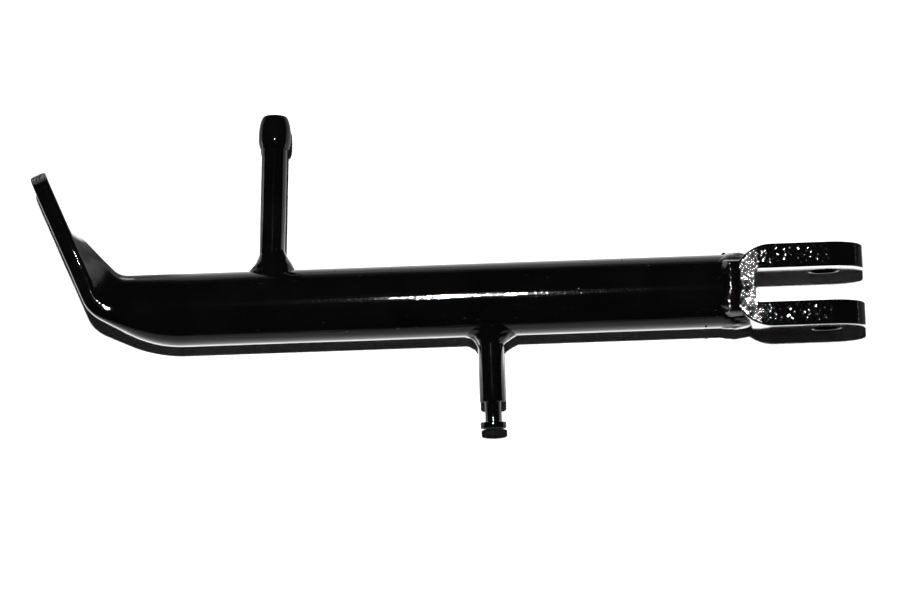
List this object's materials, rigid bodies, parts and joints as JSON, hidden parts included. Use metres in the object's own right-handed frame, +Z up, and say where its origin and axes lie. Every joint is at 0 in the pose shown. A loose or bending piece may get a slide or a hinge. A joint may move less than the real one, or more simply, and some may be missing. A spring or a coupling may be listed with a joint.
{
  "type": "motorcycle side stand",
  "caption": "Welded tubular side stand with a pressed, bent foot, a forked pivot clevis, a kick peg and a grooved spring peg.",
  "frame": {"origin": "middle of the pivot bore, halfway between the clevis ears", "axes": "+X along the leg tube from the foot towards the ear tips, +Y along the pivot bore towards the side of the kick peg, +Z up from the surface that the stand lies on"},
  "size_m": [0.2924, 0.1144, 0.028],
  "materials": {
    "enamel": "deep gloss black enamel",
    "edge_enamel": "gloss black enamel over rough sheared edges",
    "weld_enamel": "gloss black enamel over lumpy weld beads"
  },
  "bodies": {
    "root": {"leg_tube": "enamel", "clevis": "edge_enamel", "kick_peg": "enamel", "spring_peg": "enamel", "weld_clevis": "weld_enamel", "weld_kick_peg": "weld_enamel", "weld_spring_peg": "weld_enamel"}
  },
  "joints": []
}
